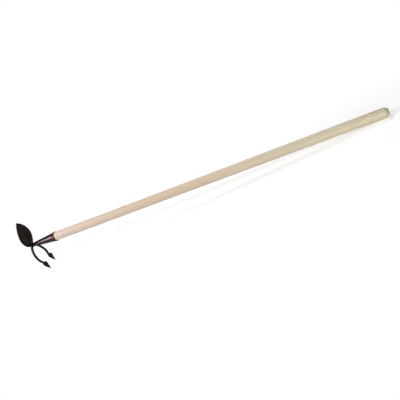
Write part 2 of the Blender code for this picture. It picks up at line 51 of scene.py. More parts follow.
# Clearances, as in the solids
FIT_GAP = 0.3                     # between any two pieces that touch on the real tool
WOOD_STOP = 27.5                  # the wood ends this far short of the fork, inside the socket

# Handle
HANDLE_LENGTH = 1200.0
HANDLE_RADIUS = 15.0
SHOULDER_DEPTH = 2.2
WOOD_CHAMFER = 1.2
GRIP_FLAT_RADIUS = 4.0
LATHE_MARK_RADIUS = 0.9           # left by the lathe's point in the middle of the grip end
LATHE_MARK_TIP_RADIUS = LATHE_MARK_RADIUS / 11
LATHE_MARK_DEPTH = 0.7
KNOT_AT = 376.0                   # along the handle, on its top
KNOT_HALF_LENGTH = 6.5
KNOT_HALF_WIDTH = 3.4
KNOT_DARKNESS = 0.85
KNOT_RAGGEDNESS = 0.5
KNOT_FADE = (0.6, 1.3)            # shares of the knot's size between which it fades out

# Grain of the wood, with sizes along, across and down
RING_WIDTH = 2.6
LATE_WOOD_SHARPNESS = 3.0         # the higher, the narrower the dark line in each ring
PITH_OFFSET = (0.0, 48.0, 36.0)   # the tree's pith lies this far off the handle's axis
GRAIN_LEAN = 0.005                # the grain leaves the axis by 5 mm in a metre
RING_WANDER = 5.0
RING_WANDER_SIZE = (160.0, 18.0, 18.0)
FIBRE_SIZE = (26.0, 0.5, 0.5)
FLECK_SPACING = (8.0, 1.2, 1.2)
FLECK_FADE = (0.12, 0.24)         # shares of the spacing between which a fleck fades out
FLECK_SINK = 0.6                  # in heights of the fibres
CLOUD_SIZE = (70.0, 12.0, 12.0)
ROSY_WOOD_END = 170.0             # places along the handle where its tone changes
TAN_WOOD = (450.0, 600.0)
CREAMY_WOOD_START = 950.0
END_GRAIN_FACING = (0.35, 1.0)    # how far the surface has to face along the handle to show end grain

# Socket
SOCKET_LENGTH = 102.0
SOCKET_WALL = 1.5
NOSE_RADIUS = 5.9
LIP_LENGTH = 12.0
SEAM_WIDTH = 1.4
SHEET_EDGE_ROUND = 0.3
SHEET_EDGE_ANGLE = 50             # edges that turn by more degrees are rounded

# Blade
BLADE_HEIGHT = 97.0               # to where its sides would meet, just above the round tip
BLADE_TIP_RADIUS = 4.0
BLADE_HALF_WIDTH = 37.8
BLADE_WIDEST_AT = 40.5
NECK_HALF_WIDTH = 9.6
NECK_AT = 0.9
BLADE_THICKNESS = 2.0
EDGE_THICKNESS = 0.7
EDGE_ROUNDING = 0.42              # share of the edge's thickness that is rounded off, on each face
WORN_WIDTH = 1.6                  # the enamel is thin over this width of the rim
GRIND_WIDTH = 3.5
GRIND_START = 8.5                 # height at which the rim begins to be ground
GRIND_RUN = 8.5                   # height in which the grinding comes to its full depth
BLADE_CURL = 1.5
BLADE_DISH = 0.3
FLAT_HALF_WIDTH = 12.0            # the middle of the blade stays flat across, for the weld

# Pull of the curves that draw the leaf, as shares of its widths and heights
HIP_FULLNESS = 0.17
SIDE_FULLNESS = 0.59
SHOULDER_FULLNESS = 0.33
CHEEK_WIDTH = 0.54
CHEEK_HEIGHT = 0.23

# Boss pressed into the blade: a hollow on the user's side, raised in front
BOSS_DEPTH = 3.4
BOSS_HALF_LENGTH = 21.0
BOSS_HALF_WIDTH = 14.8
BOSS_AT = 37.0
BOSS_CREST = 1.8
BOSS_RIM_SOFTNESS = 0.05          # rounds the rim of the boss, as the press does

# Fork
ROD_RADIUS = 4.4
CROWN_THICKNESS = 4.2
CROWN_WIDTH = 9.6
CROWN_BACK = 2.0
CROWN_HALF_LENGTH = 6.5
CROWN_RUN = 7.5
ARCH_DROP = 2.2
TINE_SPREAD = 30.5
TINE_SPREAD_AT = 47.0
TINE_SPREAD_REACH = 8.8           # how far the tines reach towards the user where they are widest apart
POINT_SPREAD = 25.1
POINT_AT = 66.0
POINT_REACH = 14.0                # and at their ends
TINE_SWEEP = 6.6
ARCH_FULLNESS = 0.51
TINE_END_FULLNESS = 0.32
SADDLE_STOP = 0.5                 # the foot's line over the crown ends at least this far short of the neck

# Arrowhead points
POINT_LENGTH = 32.6
POINT_HALF_WIDTH = 13.3
POINT_HALF_THICKNESS = 2.4
POINT_SHANK = 1.6
BARB_RISE = 2.2
POINT_TIP_RADIUS = 0.4
POINT_CUP = 2.4
POINT_SHARPNESS = 0.5             # 0 makes a point's section an ellipse, 1 a thin lens with sharp edges
POINT_BULGE = 1.2                 # 1 makes the sides straight, more makes them bulge
POINT_THINNING = 1.4              # 1 thins a point evenly to its tip, more keeps it thick for longer
POINT_ROUNDING = 4                # the higher, the nearer to the tip its section turns round
POINT_EDGE_WEAR = 12              # the higher, the narrower the worn edges
POINT_TIP_WEAR = 0.14             # share of a point's length that is worn at the tip
POINT_LEAN = 18.4                 # degrees towards the user
POINT_TURN = 3.8                  # degrees towards each other

# Screw
SCREW_FROM_MOUTH = 26.0
SCREW_SHANK_RADIUS = 2.0
SCREW_CORE_RADIUS = 1.45
SCREW_PLAIN_LENGTH = 5.0
SCREW_PITCH = 1.8
SCREW_THREAD_SHARE = 0.5          # of the pitch
SCREW_LENGTH = 18.0
SCREW_TAPER = 4.8
SCREW_TIP_RADIUS = 0.25
SCREW_HEAD_RADIUS = 4.0
SCREW_HEAD_HEIGHT = 2.4
SCREW_HEAD_BEVEL = 0.15           # on the head's underside
SCREW_RIM_HEIGHT = 0.6
SCREW_SLOT_WIDTH = 1.2
SCREW_SLOT_DEPTH = 1.0

# Weld beads
BLADE_BEAD_LEG = 2.5
BLADE_BEAD_SPAN = 132             # degrees round the nose
BLADE_BEAD_HOLLOW = 0.18
FORK_BEAD_RADIUS = 1.5
FORK_BEAD_SPAN = 160              # degrees round the nose
FOOT_BEAD_RADIUS = 1.7
POINT_BEAD_RADIUS = 1.0
BEAD_SWELLS = 6
BEAD_SWELL = 0.06                 # share by which a bead swells and shrinks along its run
BEAD_RIPPLE_SPACING = 0.9         # mm between the fine crescent ripples
BEAD_RIPPLE_DEPTH = 0.07
BEAD_RIPPLE_MIDDLE = 0.6          # height within a ripple at which a bead has its own size
RIPPLE_BEND = 0.35                # how many ripples a crescent bends back at a bead's sides
FILLET_RIPPLE_BEND = 0.5
BEAD_END = 0.03                   # share of a bead's run in which its end is cut off blunt
BEAD_BLUNTNESS = 0.38             # 1 makes a spindle, less a sausage

# Slow unevenness of the surfaces: distance between hollows and their depth
TURNED_WAVES = (40.0, 0.05)
PRESSED_WAVES = (16.0, 0.08)
DRAWN_WAVES = (9.0, 0.05)
FORGED_WAVES = (5.0, 0.16)

# The films on the steel
PATCH_SIZE = 14.0
PATCH_RANGE = (0.3, 0.7)          # the patches' values that get the lowest and the highest roughness
SPECK_SPACING = 3.5
SPECK_FADE = (0.05, 0.09)         # shares of the spacing between which a speck fades out
SPECK_RISE = 1.2                  # in depths of the dimples
LACQUER_DIMPLE = 1.8
LACQUER_DIMPLE_DEPTH = 0.008
NOSE_SHADE_FADE = (20.0, 95.0)     # along the socket, from painted shade by the nose to plain steel

# Fineness of the meshes: sides round a piece, and steps or rings along it
HANDLE_SIDES = 96
HANDLE_STEPS = 90
TAPER_STEPS = 12
GRIP_STEPS = 24
LATHE_MARK_STEPS = 3
SOCKET_SIDES = 120
CONE_STEPS = 30
LIP_STEPS = 16
NOTCH_STEPS = 16
SCREW_SIDES = 48
SCREW_STEPS = 150
SCREW_HEAD_STEPS = 14
BOSS_RINGS = 18
PLATE_RINGS = 18
GRIND_RINGS = 4
RIM_RINGS = 3
HIP_STEPS = 30
FLANK_STEPS = 36
TIP_STEPS = 8
ARCH_STEPS = 56
TINE_END_STEPS = 30
ROD_SIDES = 48
POINT_SIDES = 72
BARB_STEPS = 16
POINT_STEPS = 30
BEAD_STEPS = 130
FILLET_STEPS = 170
FILLET_SIDES = 26
COLLAR_SIDES = 28
BEAD_SIDES = 32
ROOM_SIDES = 64
CONE_ROOM_SIDES = 160

CROWN_X = CROWN_BACK - CROWN_THICKNESS / 2
NOSE_X = FIT_GAP
LIP_X = SOCKET_LENGTH - LIP_LENGTH
THROAT_RADIUS = HANDLE_RADIUS - SHOULDER_DEPTH + FIT_GAP + SOCKET_WALL
MOUTH_RADIUS = HANDLE_RADIUS + FIT_GAP + SOCKET_WALL
HANDLE_START = CROWN_BACK + WOOD_STOP
HANDLE_END = HANDLE_START + HANDLE_LENGTH
BOSS_CENTRE = Vector((0, BOSS_AT))

AXIS_X = Vector((1, 0, 0))
AXIS_Y = Vector((0, 1, 0))
AXIS_Z = Vector((0, 0, 1))

# Camera, on the tool's own axes: place in mm, turn in degrees
CAMERA_PLACE = Vector((1228.97, -1554.50, 742.98))
CAMERA_TURN = (61.0650, 26.4962, 7.6080)
CAMERA_LENS = 53.535
SENSOR_WIDTH = 36.0
PICTURE_WIDTH = 400
PICTURE_SHIFT = (-0.475, 0.355)   # in pixels of the picture

# Floor and light, in metres on the ground's axes
FLOOR_SIZE = 30.0
FLOOR_LIFT = 0.46                 # added to the floor's own white where it is looked at
SHADOW_REACH = (0.66, 0.16)       # half sizes of the oval round the tool that keeps the full shadow
ROOM_LIGHT = 0.02

# Each lamp's place, target, size, power in watts and spread in degrees
SOFT_BOXES = {
    "head box": ((-1.6, -0.84, 0.95), (-0.55, 0, 0.1), (0.3, 1.1), 20, 180),
    "far box": ((0.0, 0.9, 1.5), (0, 0, 0.05), (0.8, 0.8), 12, 180),
    "near box": ((-0.8, -0.8, 1.5), (-0.3, 0, 0.05), (0.8, 0.8), 8.4, 180),
    "low box": ((0.4, -1.5, 0.3), (0.4, 0, 0.03), (0.8, 0.8), 0.95, 64),
    "grip box": ((0.95, -0.8, 0.1), (0.5, 0, 0.03), (0.4, 0.4), 0.85, 80),
}


def tool_axes():
    """The tool's own axes in the frame, from the middle of the grip end and the handle's direction."""
    grip = next(mount for mount in frame["record"]["mounts"] if mount["name"] == "grip_end")
    along = Vector(grip["axis"]).normalized()
    axes = Matrix((along, AXIS_Y, along.cross(AXIS_Y))).transposed().to_4x4()
    axes.translation = Vector(grip["pos_m"]) - along * HANDLE_END * MM
    return axes


TOOL = tool_axes()


def mix(a, b, t):
    return a + (b - a) * t


def ease(t):
    t = min(max(t, 0.0), 1.0)
    return t * t * (3 - 2 * t)


def bezier(a, b, c, d, t):
    s = 1 - t
    return a * s ** 3 + b * 3 * s * s * t + c * 3 * s * t * t + d * t ** 3


def circle(centre, across, up, radius, sides):
    angles = [2 * math.pi * k / sides for k in range(sides)]
    return [centre + radius * (across * math.cos(a) + up * math.sin(a)) for a in angles]


def skin(rings, closed=False):
    """Covers a row of closed rings with as many points each, and caps its ends unless it meets itself."""
    bm = bmesh.new()
    rows = [[bm.verts.new(point) for point in ring] for ring in rings]
    pairs = list(zip(rows, rows[1:]))
    if closed:
        pairs.append((rows[-1], rows[0]))
    for low, high in pairs:
        for i in range(len(low)):
            j = (i + 1) % len(low)
            bm.faces.new((low[i], low[j], high[j], high[i]))
    if not closed:
        bm.faces.new(rows[0])
        bm.faces.new(rows[-1])
    return bm


def skin_sheet(rings):
    """Like skin, but the end caps are strips of small faces instead of one face each."""
    bm = bmesh.new()
    rows = [[bm.verts.new(point) for point in ring] for ring in rings]
    count = len(rings[0])
    for low, high in zip(rows, rows[1:]):
        for i in range(count):
            j = (i + 1) % count
            bm.faces.new((low[i], low[j], high[j], high[i]))
    for row in (rows[0], rows[-1]):
        for i in range(count // 2 - 1):
            bm.faces.new((row[i], row[i + 1], row[count - 2 - i], row[count - 1 - i]))
    return bm


def turned(profile, axis, across, sides):
    """Turns a profile of (distance along the axis, radius) pairs."""
    up = axis.cross(across)
    return skin([circle(axis * along, across, up, radius, sides) for along, radius in profile])


def uneven(bm, spacing, depth):
    """Sinks the surface here and there by up to depth, with hollows about as far apart as spacing."""
    bmesh.ops.recalc_face_normals(bm, faces=bm.faces)
    bm.normal_update()
    moves = [(v, v.normal * (noise.noise(v.co / spacing) - 1) * depth / 2) for v in bm.verts]
    for vert, move in moves:
        vert.co += move
    return bm


def new_object(name, bm):
    bmesh.ops.recalc_face_normals(bm, faces=bm.faces)
    bmesh.ops.scale(bm, vec=(MM, MM, MM), verts=bm.verts)
    mesh = bpy.data.meshes.new(name)
    bm.to_mesh(mesh)
    bm.free()
    mesh.transform(TOOL)
    made = bpy.data.objects.new(name, mesh)
    bpy.context.collection.objects.link(made)
    return made


def discard(*cutters):
    for cutter in cutters:
        bpy.data.objects.remove(cutter)


def finished(name, bm, finish, node, cutters=(), sharp=35):
    """Turns a mesh into a piece of the tool that stands for its solid, once its cutters have cut it."""
    made = new_object(name, bm)
    for cutter in cutters:
        cut = made.modifiers.new(cutter.name, 'BOOLEAN')
        cut.operation = 'DIFFERENCE'
        cut.solver = 'EXACT'
        cut.object = cutter
    if cutters:
        graph = bpy.context.evaluated_depsgraph_get()
        whole = made.data
        made.data = bpy.data.meshes.new_from_object(made.evaluated_get(graph))
        made.modifiers.clear()
        bpy.data.meshes.remove(whole)
        made.data.name = name
    made.data.materials.clear()
    made.data.materials.append(finish)
    made.data.shade_smooth()
    made.data.set_sharp_from_angle(angle=math.radians(sharp))
    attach(made, "root")
    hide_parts(node)


def socket_outer(x):
    """The socket's outer radius: a straight cone, then a short flared lip."""
    if x <= LIP_X:
        return mix(NOSE_RADIUS, THROAT_RADIUS, (x - NOSE_X) / (LIP_X - NOSE_X))
    third = (THROAT_RADIUS - NOSE_RADIUS) / (LIP_X - NOSE_X) * LIP_LENGTH / 3
    t = (x - LIP_X) / LIP_LENGTH
    return bezier(THROAT_RADIUS, THROAT_RADIUS + third, MOUTH_RADIUS - third, MOUTH_RADIUS, t)


def wood_radius(x):
    return socket_outer(x) - SOCKET_WALL - FIT_GAP


def grip_depth():
    return math.sqrt(HANDLE_RADIUS ** 2 - GRIP_FLAT_RADIUS ** 2)


def make_handle(finish, cutters):
    """The turned handle: tapered in the socket, then straight, with a round grip end and a lathe's mark."""
    first = HANDLE_START + WOOD_CHAMFER
    profile = [(HANDLE_START, wood_radius(first) - WOOD_CHAMFER)]
    tapered = [mix(first, LIP_X, i / TAPER_STEPS) for i in range(TAPER_STEPS + 1)]
    tapered += [mix(LIP_X, SOCKET_LENGTH, i / TAPER_STEPS) for i in range(1, TAPER_STEPS + 1)]
    profile += [(x, wood_radius(x)) for x in tapered]
    equator = HANDLE_END - grip_depth()
    straight = [mix(SOCKET_LENGTH, equator, i / HANDLE_STEPS) for i in range(1, HANDLE_STEPS + 1)]
    profile += [(x, HANDLE_RADIUS) for x in straight]
    flat_angle = math.acos(GRIP_FLAT_RADIUS / HANDLE_RADIUS)
    for i in range(1, GRIP_STEPS + 1):
        a = flat_angle * i / GRIP_STEPS
        profile.append((equator + HANDLE_RADIUS * math.sin(a), HANDLE_RADIUS * math.cos(a)))
    shares = [i / LATHE_MARK_STEPS for i in range(1, LATHE_MARK_STEPS + 1)]
    profile += [(HANDLE_END, mix(GRIP_FLAT_RADIUS, LATHE_MARK_RADIUS, t)) for t in shares]
    for t in shares:
        radius = mix(LATHE_MARK_RADIUS, LATHE_MARK_TIP_RADIUS, t)
        profile.append((HANDLE_END - LATHE_MARK_DEPTH * t, radius))
    bm = uneven(turned(profile, AXIS_X, AXIS_Z, HANDLE_SIDES), *TURNED_WAVES)
    finished("turned_handle", bm, finish, "handle", cutters, sharp=30)


def make_socket(finish, cutters):
    """The rolled cone: a rounded sheet edge at nose and mouth, and a seam left open under the tool."""
    xs = [mix(NOSE_X, LIP_X, i / CONE_STEPS) for i in range(CONE_STEPS + 1)]
    xs += [mix(LIP_X, SOCKET_LENGTH, i / LIP_STEPS) for i in range(1, LIP_STEPS + 1)]
    rings = []
    for i in range(SOCKET_SIDES + 1):
        row = []
        for outside, stations in ((True, xs), (False, reversed(xs))):
            for x in stations:
                radius = socket_outer(x) - (0 if outside else SOCKET_WALL)
                half_gap = math.asin(SEAM_WIDTH / 2 / radius)
                a = mix(half_gap, 2 * math.pi - half_gap, i / SOCKET_SIDES) - math.pi / 2
                row.append(Vector((x, radius * math.cos(a), radius * math.sin(a))))
        rings.append(row)
    bm = skin_sheet(rings)
    bmesh.ops.recalc_face_normals(bm, faces=bm.faces)
    rims = [e for e in bm.edges if e.calc_face_angle(0) > math.radians(SHEET_EDGE_ANGLE)]
    bmesh.ops.bevel(bm, geom=rims, offset=SHEET_EDGE_ROUND, segments=3, profile=0.5, affect='EDGES')
    finished("rolled_socket", bm, finish, "socket", cutters, sharp=40)


def notch_cutter():
    """Clears the underside of the nose for the rod, with a round corner that fits it."""
    back = CROWN_THICKNESS / 2 + FIT_GAP
    top = CROWN_WIDTH / 2 + FIT_GAP
    far = NOSE_RADIUS * 2
    profile = [(-far, -far), (-far, top - ARCH_DROP)]
    for i in range(NOTCH_STEPS + 1):
        a = math.pi / 2 * (1 - i / NOTCH_STEPS)
        profile.append((CROWN_X + back * math.cos(a), top * math.sin(a) - ARCH_DROP))
    profile.append((CROWN_X + back, -far))
    return new_object("nose_notch", skin([[Vector((x, y, z)) for x, z in profile] for y in (-far, far)]))


def screw_frame():
    """Where the screw's head seats: on the cone's +Y side, with local Z square to its wall."""
    x = SOCKET_LENGTH - SCREW_FROM_MOUTH
    slope = math.atan2(socket_outer(x + 1) - socket_outer(x), 1)
    out = Vector((-math.sin(slope), math.cos(slope), 0))
    along = Vector((math.cos(slope), math.sin(slope), 0))
    placed = Matrix((along, -AXIS_Z, out)).transposed().to_4x4()
    placed.translation = Vector((x, socket_outer(x), 0))
    return placed


def screw_hole_cutter():
    radius = SCREW_SHANK_RADIUS + FIT_GAP
    bm = turned([(-SCREW_LENGTH, radius), (SCREW_HEAD_RADIUS * 2, radius)], AXIS_Z, AXIS_X, SCREW_SIDES)
    bm.transform(screw_frame())
    return new_object("screw_hole", bm)


def make_screw(finish):
    """A slotted round-head wood screw: plain under the head, then threaded to its point."""
    bottom = FIT_GAP - SCREW_LENGTH
    rings = []
    for i in range(SCREW_STEPS + 1):
        z = mix(bottom, FIT_GAP, i / SCREW_STEPS)
        room = mix(SCREW_TIP_RADIUS, SCREW_SHANK_RADIUS, min((z - bottom) / SCREW_TAPER, 1))
        ring = []
        for k in range(SCREW_SIDES):
            a = 2 * math.pi * k / SCREW_SIDES
            turn = (z / SCREW_PITCH - k / SCREW_SIDES) % 1
            crest = max(1 - abs(turn - 0.5) * 2 / SCREW_THREAD_SHARE, 0)
            core = min(SCREW_CORE_RADIUS, room)
            plain = ease((z + SCREW_PLAIN_LENGTH) / SCREW_PITCH)
            radius = mix(mix(core, room, crest), SCREW_SHANK_RADIUS, plain)
            ring.append(Vector((radius * math.cos(a), radius * math.sin(a), z)))
        rings.append(ring)
    rim = FIT_GAP + SCREW_RIM_HEIGHT
    head = [(FIT_GAP, SCREW_HEAD_RADIUS - SCREW_HEAD_BEVEL)]
    head += [(z, SCREW_HEAD_RADIUS) for z in (FIT_GAP + SCREW_HEAD_BEVEL, rim)]
    dome = SCREW_HEAD_HEIGHT - SCREW_RIM_HEIGHT
    for i in range(1, SCREW_HEAD_STEPS):
        a = math.pi / 2 * i / SCREW_HEAD_STEPS
        head.append((rim + dome * math.sin(a), SCREW_HEAD_RADIUS * math.cos(a)))
    rings += [circle(AXIS_Z * z, AXIS_X, AXIS_Y, radius, SCREW_SIDES) for z, radius in head]
    bm = skin(rings)
    bm.transform(screw_frame())
    slot = bmesh.new()
    bmesh.ops.create_cube(slot, size=1)
    size = Vector((SCREW_HEAD_RADIUS * 3, SCREW_SLOT_WIDTH, SCREW_SLOT_DEPTH * 2))
    bmesh.ops.scale(slot, vec=size, verts=slot.verts)
    bmesh.ops.translate(slot, vec=(0, 0, FIT_GAP + SCREW_HEAD_HEIGHT), verts=slot.verts)
    slot.transform(screw_frame())
    cutter = new_object("screw_slot", slot)
    finished("slotted_screw", bm, finish, "socket_screw", [cutter])
    discard(cutter)


def blade_outline():
    """Right half of the leaf, from the middle of its foot up to its round tip, as (y, z) points."""
    neck = Vector((NECK_HALF_WIDTH, NECK_AT))
    widest = Vector((BLADE_HALF_WIDTH, BLADE_WIDEST_AT))
    tip = Vector((0, BLADE_HEIGHT))
    above = BLADE_HEIGHT - BLADE_WIDEST_AT
    points = saddle(FIT_GAP)
    hip = neck + Vector((BLADE_HALF_WIDTH - NECK_HALF_WIDTH, 0)) * HIP_FULLNESS
    side = widest - Vector((0, BLADE_WIDEST_AT - NECK_AT)) * SIDE_FULLNESS
    points += [bezier(neck, hip, side, widest, i / HIP_STEPS) for i in range(HIP_STEPS + 1)]
    shoulder = widest + Vector((0, above)) * SHOULDER_FULLNESS
    cheek = tip + Vector((BLADE_HALF_WIDTH * CHEEK_WIDTH, -above * CHEEK_HEIGHT))
    into_tip = (tip - cheek).normalized()
    centre = tip + Vector((0, BLADE_TIP_RADIUS / into_tip.x))
    turn = math.atan2(-into_tip.x, into_tip.y)
    flank = [bezier(widest, shoulder, cheek, tip, i / FLANK_STEPS) for i in range(1, FLANK_STEPS)]
    points += [p for p in flank if p.y < centre.y + BLADE_TIP_RADIUS * math.sin(turn)]
    for i in range(TIP_STEPS + 1):
        a = mix(turn, math.pi / 2, i / TIP_STEPS)
        points.append(centre + BLADE_TIP_RADIUS * Vector((math.cos(a), math.sin(a))))
    return points


def boss_radius(direction):
    """Distance from the boss's centre to its lens-shaped edge."""
    arc = (BOSS_HALF_WIDTH ** 2 + BOSS_HALF_LENGTH ** 2) / (2 * BOSS_HALF_WIDTH)
    offset = arc - BOSS_HALF_WIDTH
    return math.sqrt(arc ** 2 - (offset * direction.y) ** 2) - offset * abs(direction.x)


def boss_sink(share):
    """Depth of the boss at a share of the way from its centre to its edge, with a soft rim."""
    fall = 1 - share ** BOSS_CREST
    full = 1 + math.hypot(1, BOSS_RIM_SOFTNESS)
    return BOSS_DEPTH * (fall + math.hypot(fall, BOSS_RIM_SOFTNESS)) / full


def blade_back(y, z):
    """X of the blade's face on the user's side, without the boss."""
    curl = BLADE_CURL * (max(z, 0) / BLADE_HEIGHT) ** 2
    beyond = max(abs(y) - FLAT_HALF_WIDTH, 0) / (BLADE_HALF_WIDTH - FLAT_HALF_WIDTH)
    return curl + BLADE_DISH * beyond ** 2


def blade_thickness(inset, z):
    """Full thickness, thinned where the rim has been ground sharp above the neck."""
    ground = ease((z - GRIND_START) / GRIND_RUN)
    thin = mix(BLADE_THICKNESS, EDGE_THICKNESS, ground)
    return mix(thin, BLADE_THICKNESS, min(inset / GRIND_WIDTH, 1))


def blade_ring(ring, edge, rim, rounding):
    """Where a ring of the mesh crosses a line from the boss's centre out to the rim.

    Gives the distance along the line, and how far the rounding of the rim drops the ring below the face.
    """
    grind = rim - GRIND_WIDTH
    if ring <= BOSS_RINGS:
        return edge * ring / BOSS_RINGS, 0
    if ring <= BOSS_RINGS + PLATE_RINGS:
        return mix(edge, grind, (ring - BOSS_RINGS) / PLATE_RINGS), 0
    beyond = ring - BOSS_RINGS - PLATE_RINGS
    if beyond <= GRIND_RINGS:
        return mix(grind, rim - rounding, beyond / GRIND_RINGS), 0
    a = math.pi / 2 * (beyond - GRIND_RINGS) / RIM_RINGS
    return rim - rounding * (1 - math.sin(a)), rounding * (1 - math.cos(a))


def make_blade(finish):
    """The pressed leaf: rings run round the boss and out to a rounded rim, on both faces.

    A worn value of 1 marks the rim, where the enamel is thinnest.
    """
    half = blade_outline()
    outline = half + [Vector((-p.x, p.y)) for p in reversed(half[1:-1])]
    bm = bmesh.new()
    worn = bm.verts.layers.float.new("worn")
    count = len(outline)
    sides = []
    for front in (False, True):
        rows = []
        for ring in range(1, BOSS_RINGS + PLATE_RINGS + GRIND_RINGS + RIM_RINGS + 1):
            row = []
            for point in outline:
                reach = point - BOSS_CENTRE
                direction, rim = reach.normalized(), reach.length
                edge = boss_radius(direction)
                rounding = blade_thickness(0, point.y) * EDGE_ROUNDING
                distance, drop = blade_ring(ring, edge, rim, rounding)
                place = BOSS_CENTRE + direction * distance
                x = blade_back(place.x, place.y) - boss_sink(distance / edge)
                if front:
                    x += drop - blade_thickness(rim - distance, place.y)
                else:
                    x -= drop
                vert = bm.verts.new((x, place.x, place.y))
                vert[worn] = ease(1 - (rim - distance) / WORN_WIDTH)
                row.append(vert)
            rows.append(row)
        middle_x = blade_back(0, BOSS_AT) - BOSS_DEPTH
        if front:
            middle_x -= BLADE_THICKNESS
        sides.append((rows, bm.verts.new((middle_x, 0, BOSS_AT))))
    for rows, middle in sides:
        for i in range(count):
            j = (i + 1) % count
            bm.faces.new((middle, rows[0][i], rows[0][j]))
            for inner, outer in zip(rows, rows[1:]):
                bm.faces.new((inner[i], inner[j], outer[j], outer[i]))
    back_rim, front_rim = sides[0][0][-1], sides[1][0][-1]
    for i in range(count):
        j = (i + 1) % count
        bm.faces.new((back_rim[i], back_rim[j], front_rim[j], front_rim[i]))
    finished("pressed_blade", uneven(bm, *PRESSED_WAVES), finish, "blade", sharp=50)


def point_axis(side):
    """Direction of a point, down and towards the user."""
    lean = Matrix.Rotation(-math.radians(POINT_LEAN), 3, 'Y') @ -AXIS_Z
    return Matrix.Rotation(-side * math.radians(POINT_TURN), 3, 'X') @ lean


def tine_line():
    """Centre line of the tine at +Y, from the top of the arch to the end of the rod."""
    top = Vector((CROWN_X, 0, -ARCH_DROP))
    widest = Vector((TINE_SPREAD_REACH, TINE_SPREAD, -TINE_SPREAD_AT))
    end = Vector((POINT_REACH, POINT_SPREAD, -POINT_AT))
    above = TINE_SPREAD_AT - ARCH_DROP
    below = POINT_AT - TINE_SPREAD_AT
    crown = top + AXIS_Y * TINE_SPREAD * ARCH_FULLNESS
    hip = widest + Vector((-TINE_SWEEP, 0, above * ARCH_FULLNESS))
    knee = widest + (widest - hip) * (below / above)
    ankle = end - point_axis(1) * below * TINE_END_FULLNESS
    points = [bezier(top, crown, hip, widest, i / ARCH_STEPS) for i in range(ARCH_STEPS + 1)]
    for i in range(1, TINE_END_STEPS + 1):
        points.append(bezier(widest, knee, ankle, end, i / TINE_END_STEPS))
    return points


def crown_share(y):
    """1 where the rod is pressed flat, 0 where it is round."""
    return 1 - ease((abs(y) - CROWN_HALF_LENGTH) / CROWN_RUN)


def saddle(gap):
    """Right half of a line over the rod's crown, a gap above it, up to the neck, as (y, z) points."""
    points = [Vector((0, CROWN_WIDTH / 2 - ARCH_DROP + gap))]
    line = tine_line()
    for before, here, after in zip(line, line[1:], line[2:]):
        up = Vector((before.z - after.z, after.y - before.y)).normalized()
        reach = mix(ROD_RADIUS, CROWN_WIDTH / 2, crown_share(here.y)) + gap
        point = Vector((here.y, here.z)) + up * reach
        if point.x > NECK_HALF_WIDTH - SADDLE_STOP:
            break
        points.append(point)
    return points


def fork_rod(gap, sides):
    """The bent rod, or with a gap the room that it needs: a tube that is an ellipse at its flat crown.

    Its ends are cut square to the points.
    """
    right = tine_line()
    line = [Vector((p.x, -p.y, p.z)) for p in reversed(right[1:])] + right
    ways = [(after - before).normalized() for before, after in zip(line, line[2:])]
    ways = [-point_axis(-1)] + ways + [point_axis(1)]
    rings = []
    normal = AXIS_X
    for centre, ahead in zip(line, ways):
        normal = (normal - ahead * normal.dot(ahead)).normalized()
        flat = crown_share(centre.y)
        thick = mix(ROD_RADIUS, CROWN_THICKNESS / 2, flat) + gap
        wide = mix(ROD_RADIUS, CROWN_WIDTH / 2, flat) + gap
        rings.append(circle(centre, normal * thick, ahead.cross(normal) * wide, 1, sides))
    return skin(rings)


def make_fork(finish):
    """The rod, bent cold from drawn bar and pressed flat at its crown."""
    bm = uneven(fork_rod(0, ROD_SIDES), *DRAWN_WAVES)
    finished("bent_fork_rod", bm, finish, "fork")


def point_frame(side):
    """Places a point: local Z runs back up the tine, local Y is the tool's sideways direction."""
    up = -point_axis(side)
    across = (AXIS_Y - up * up.y).normalized()
    end = tine_line()[-1]
    end.y *= side
    placed = Matrix((across.cross(up), across, up)).transposed().to_4x4()
    placed.translation = end - up * FIT_GAP
    return placed


def point_stations():
    """Depth, half width, half thickness and flatness of a point's sections, from its stub down.

    A flatness of 0 is the round stub and 1 is the flat arrowhead.
    """
    stations = [(0, ROD_RADIUS, ROD_RADIUS, 0)]
    for i in range(BARB_STEPS + 1):
        t = i / BARB_STEPS
        width = mix(ROD_RADIUS, POINT_HALF_WIDTH, math.sqrt(1 - (1 - t) ** 2))
        stations.append((POINT_SHANK + BARB_RISE * t, width, mix(ROD_RADIUS, POINT_HALF_THICKNESS, t), t))
    barbs = POINT_SHANK + BARB_RISE
    for i in range(1, POINT_STEPS + 1):
        t = i / POINT_STEPS
        width = mix(POINT_HALF_WIDTH, POINT_TIP_RADIUS, t ** POINT_BULGE)
        thick = mix(POINT_HALF_THICKNESS, POINT_TIP_RADIUS, t ** POINT_THINNING)
        stations.append((mix(barbs, POINT_LENGTH, t), width, thick, 1 - t ** POINT_ROUNDING))
    return stations


def make_point(side, word, finish):
    """A forged arrowhead with a crest down its middle.

    A worn value of 1 marks its thin edges and its tip.
    """
    stations = point_stations()
    rings = []
    for depth, width, thick, flatness in stations:
        ring = []
        for i in range(POINT_SIDES):
            a = 2 * math.pi * i / POINT_SIDES
            power = 1 + POINT_SHARPNESS * flatness
            swell = math.copysign(abs(math.sin(a)) ** power, math.sin(a)) * thick
            cup = flatness * POINT_CUP * (math.cos(a) * width / POINT_HALF_WIDTH) ** 2
            ring.append(Vector((swell + cup, math.cos(a) * width, -depth)))
        rings.append(ring)
    bm = skin(rings)
    worn = bm.verts.layers.float.new("worn")
    bm.verts.ensure_lookup_table()
    for i, (depth, _, _, flatness) in enumerate(stations):
        tip = ease(1 - (1 - depth / POINT_LENGTH) / POINT_TIP_WEAR)
        for k in range(POINT_SIDES):
            edge = abs(math.cos(2 * math.pi * k / POINT_SIDES)) ** POINT_EDGE_WEAR * flatness
            bm.verts[i * POINT_SIDES + k][worn] = max(edge, tip)
    bm = uneven(bm, *FORGED_WAVES)
    bm.transform(point_frame(side))
    finished(f"forged_point_{word}", bm, finish, f"point_{word}", sharp=45)


